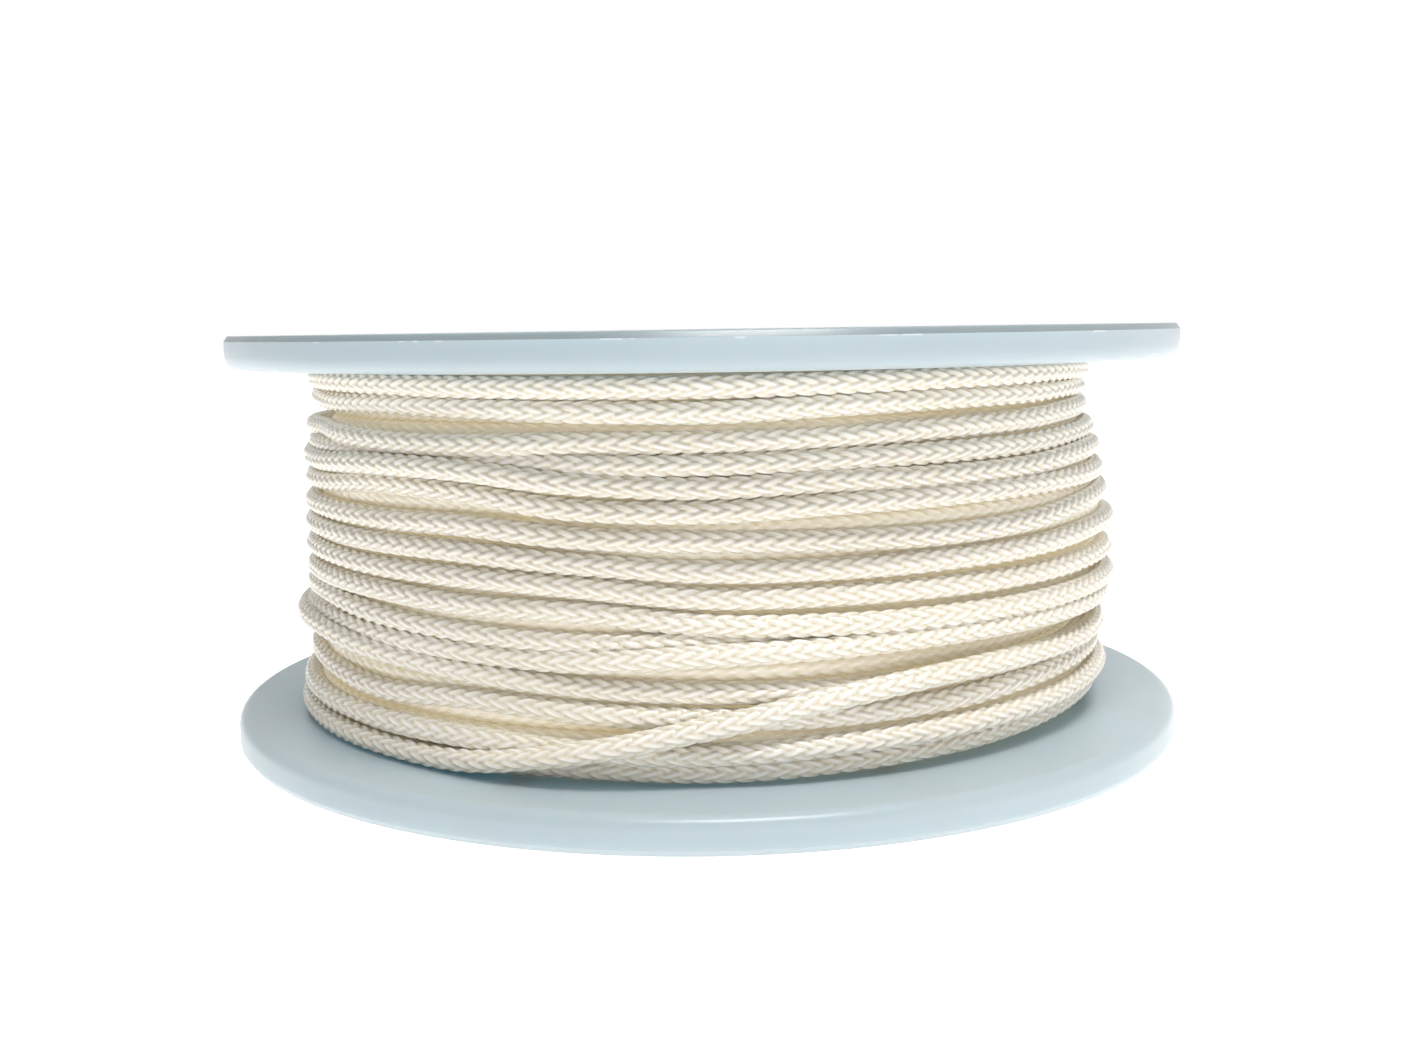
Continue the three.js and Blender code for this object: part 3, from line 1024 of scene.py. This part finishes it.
# Every turn of the sixth layer is a piece of its own, finely braided. The fifth is coarser.
TURN_SPACING = 0.36
TURN_SIDES = (28, 5)             # points round the cord that face out, and that don't
UNDER_SPACING = 0.7
UNDER_SIDES = (18, 4)
UNDER_PIECES = 4
covers = []
for number, name in enumerate(TURNS):
    middle = first_pass + 360 * number
    end = min(middle + 180, samples[0, -1] - 0.5)
    covers.append(braided_tube("cord_" + name, line, middle - 180, end, TURN_SPACING, *TURN_SIDES))
fifth_end = first_pass - 180
for number, start in enumerate(np.linspace(fifth_angle, fifth_end, UNDER_PIECES + 1)[:-1]):
    end = start + (fifth_end - fifth_angle) / UNDER_PIECES
    name = f"cord_layer_below_{number + 1}"
    covers.append(braided_tube(name, line, start, end, UNDER_SPACING, *UNDER_SIDES))

# The whole cord as one plain tube: full size in the hidden layers, thinner inside the braids.
HIDDEN_RADIUS = 1.95
INSIDE_RADIUS = 1.45
CORE_RELIEF = 0.4                # the tube's painted shade, between a braid's dips and its crests
centres = line.points(samples[0])
core_radii = np.where(samples[0] < fifth_angle, HIDDEN_RADIUS, INSIDE_RADIUS)
core = plain_tube("cord_core", centres, core_radii, 6)
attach(core, "root")
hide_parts("cord_winding")
for cover in covers:
    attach(cover, "root")
    paint(cover, below_paint if "below" in cover.name else cord_paint)
paint(core, below_paint)
store(core, "relief", np.full(len(core.data.vertices), CORE_RELIEF))

flange_plastic = flange_material()
tube_plastic = plastic_nodes("tube_plastic", (0.58, 0.65, 0.69), 0.4).material
bush_plastic = plastic_nodes("bush_plastic", (0.28, 0.32, 0.35), 0.35).material
steel = steel_material()


def stand_for(piece, node, material):
    """Puts a fine piece in its node's place."""
    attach(piece, "root")
    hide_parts(node)
    paint(piece, material)


for end in ("top", "bottom"):
    stand_for(make_flange(end), "flange_" + end, flange_plastic)
    stand_for(make_bush(end), "bush_" + end, bush_plastic)

arbor = make_tube("arbor_tube", ARBOR_WALL)
barrel = make_tube("barrel_tube", BARREL_WALL)
cut_start_hole(barrel)
stand_for(arbor, "arbor_tube", tube_plastic)
stand_for(barrel, "barrel_tube", tube_plastic)

for number in range(1, BOLTS + 1):
    fasteners = {
        f"tie_bolt_{number}": make_bolt,
        f"tie_nut_{number}": make_nut,
        f"washer_top_{number}": make_washer,
        f"washer_bottom_{number}": make_washer,
    }
    for node, make in fasteners.items():
        piece = make(node)
        finish_shading(piece.data, SHARP_ANGLE)
        stand_for(piece, node, steel)

# Floor, light and background.
FLOOR_REACH = 6000
floor_corners = [(-FLOOR_REACH, -FLOOR_REACH, 0), (FLOOR_REACH, -FLOOR_REACH, 0),
                 (FLOOR_REACH, FLOOR_REACH, 0), (-FLOOR_REACH, FLOOR_REACH, 0)]
floor = link_mesh("floor", floor_corners, np.array([[0, 1, 2, 3]]))
floor.data.materials.append(floor_material())


def add_softbox(name, place, aim, size, power):
    """An area light at a place, turned to what it lights; its width and height are in size."""
    data = bpy.data.lights.new(name, "AREA")
    data.shape = "RECTANGLE"
    data.size, data.size_y = (side * MM for side in size)
    data.energy = power
    light = bpy.data.objects.new(name, data)
    bpy.context.scene.collection.objects.link(light)
    light.location = Vector(place) * MM
    light.rotation_euler = (Vector(aim) - Vector(place)).to_track_quat("-Z", "Y").to_euler()


add_softbox("key", (90, -300, 620), (0, 0, 40), (300, 45), 2.7)
add_softbox("fill", (200, -900, 140), (0, 0, 40), (700, 300), 0.7)


BRIGHT_SIDE = (0.35, 0.9, 0.2)   # behind the reel, a little to the right and up
BRIGHT_STRENGTH = 0.9
DIM_STRENGTH = 0.12


def add_world():
    """White all round to look at. As a light, it is bright towards BRIGHT_SIDE and dimmer opposite."""
    world = bpy.data.worlds.new("studio")
    world.use_nodes = True
    tree = world.node_tree
    lit = tree.nodes["Background"]
    seen = tree.nodes.new("ShaderNodeBackground")
    seen.inputs["Color"].default_value = (1, 1, 1, 1)
    seen.inputs["Strength"].default_value = 1.0
    place = tree.nodes.new("ShaderNodeTexCoord")
    facing = tree.nodes.new("ShaderNodeVectorMath")
    facing.operation = "DOT_PRODUCT"
    facing.inputs[1].default_value = BRIGHT_SIDE
    tree.links.new(place.outputs["Generated"], facing.inputs[0])
    shade = tree.nodes.new("ShaderNodeMapRange")
    shade.inputs["From Min"].default_value = -1.0
    shade.inputs["From Max"].default_value = 1.0
    shade.inputs["To Min"].default_value = DIM_STRENGTH
    shade.inputs["To Max"].default_value = BRIGHT_STRENGTH
    tree.links.new(facing.outputs["Value"], shade.inputs["Value"])
    tree.links.new(shade.outputs["Result"], lit.inputs["Strength"])
    lit.inputs["Color"].default_value = (1, 1, 1, 1)
    path = tree.nodes.new("ShaderNodeLightPath")
    choose = tree.nodes.new("ShaderNodeMixShader")
    tree.links.new(path.outputs["Is Camera Ray"], choose.inputs[0])
    tree.links.new(lit.outputs[0], choose.inputs[1])
    tree.links.new(seen.outputs[0], choose.inputs[2])
    tree.links.new(choose.outputs[0], tree.nodes["World Output"].inputs["Surface"])
    bpy.context.scene.world = world


add_world()
bpy.context.scene.view_settings.view_transform = "Standard"
